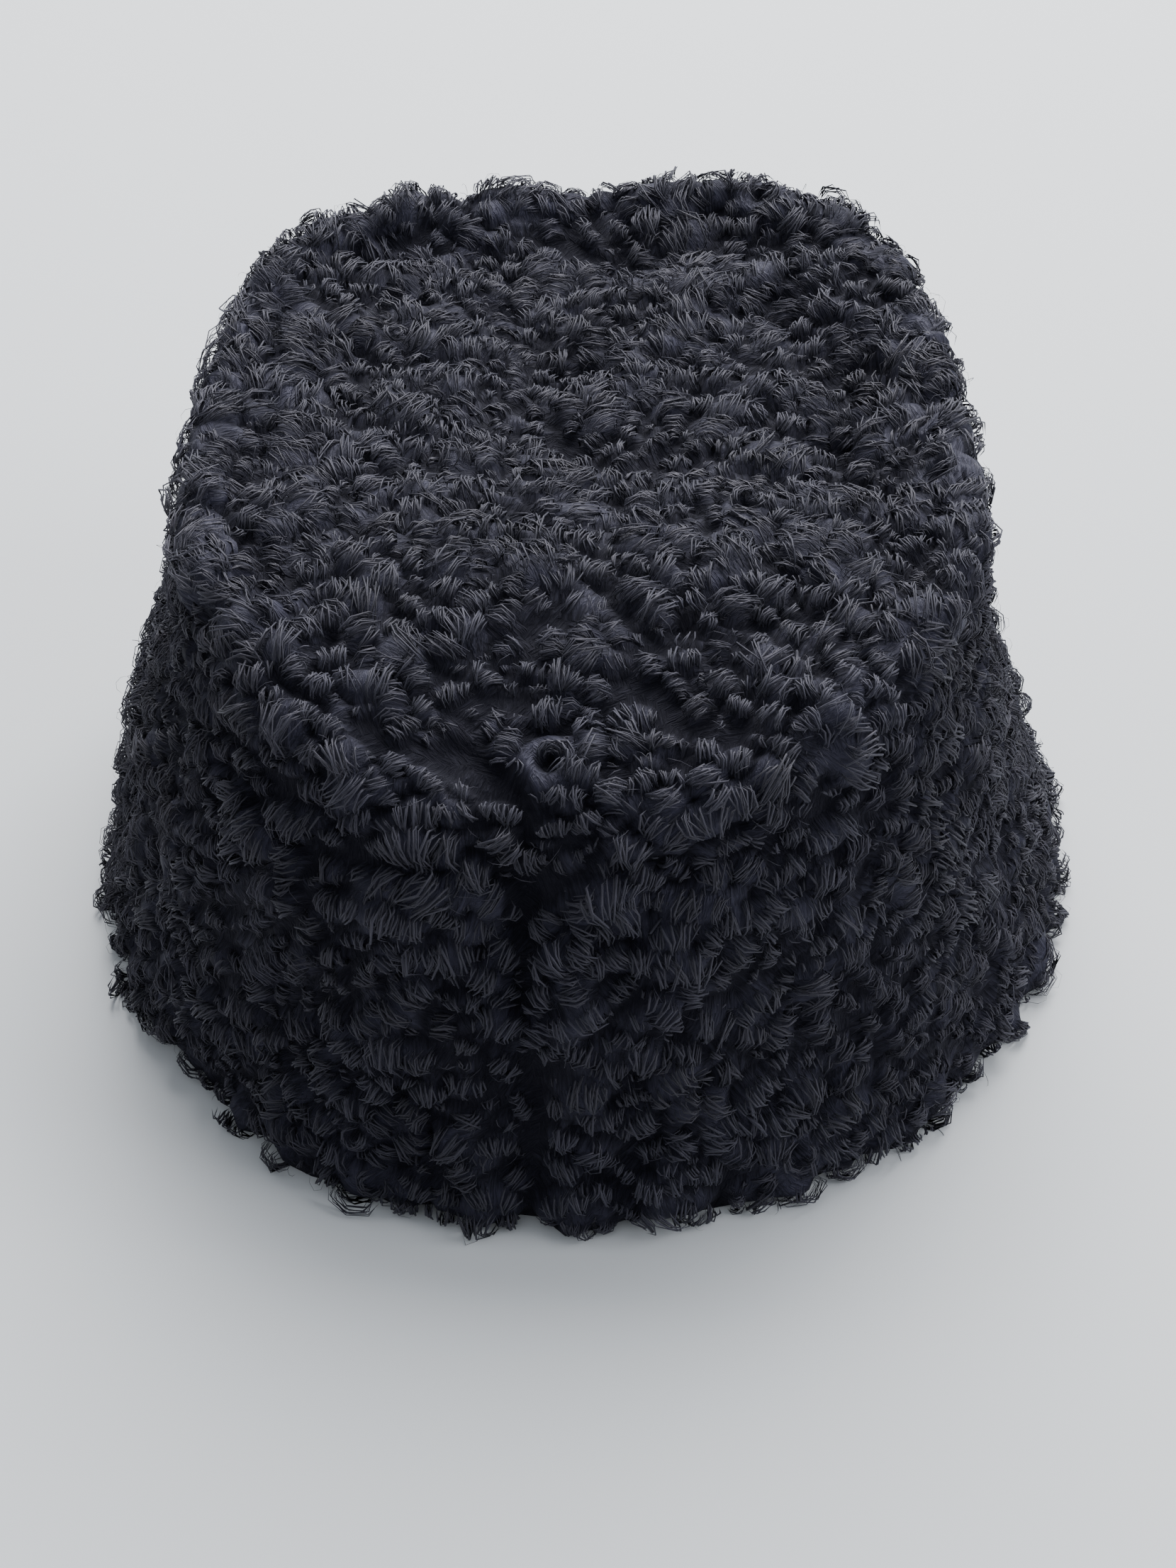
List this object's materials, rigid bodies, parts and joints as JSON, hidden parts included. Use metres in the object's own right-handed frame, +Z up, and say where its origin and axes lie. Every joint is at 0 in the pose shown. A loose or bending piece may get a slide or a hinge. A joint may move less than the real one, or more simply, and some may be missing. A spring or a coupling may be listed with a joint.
{
  "type": "karakul lambskin hat of the turkmen telpek kind",
  "caption": "Bucket-shaped fur hat of tightly curled lambskin: a flared side band rolled over at the shoulder and a sunken, dented crown, open below for the head.",
  "frame": {"origin": "centre of the rim's box, on the plane that the rim rests on", "axes": "+Z up from the rim to the crown, -Y towards the front of the hat, +X towards the wearer's left"},
  "size_m": [0.1928, 0.2228, 0.1047],
  "materials": {
    "band_fleece": "short tight curls of black lambskin fleece with a soft gloss",
    "crown_fleece": "flatter waves of black lambskin fleece with a soft gloss",
    "hide": "dyed suede flesh side of the skin, seen inside the hat"
  },
  "bodies": {
    "root": {"side_band": "band_fleece", "crown_tip": "crown_fleece"}
  },
  "joints": []
}
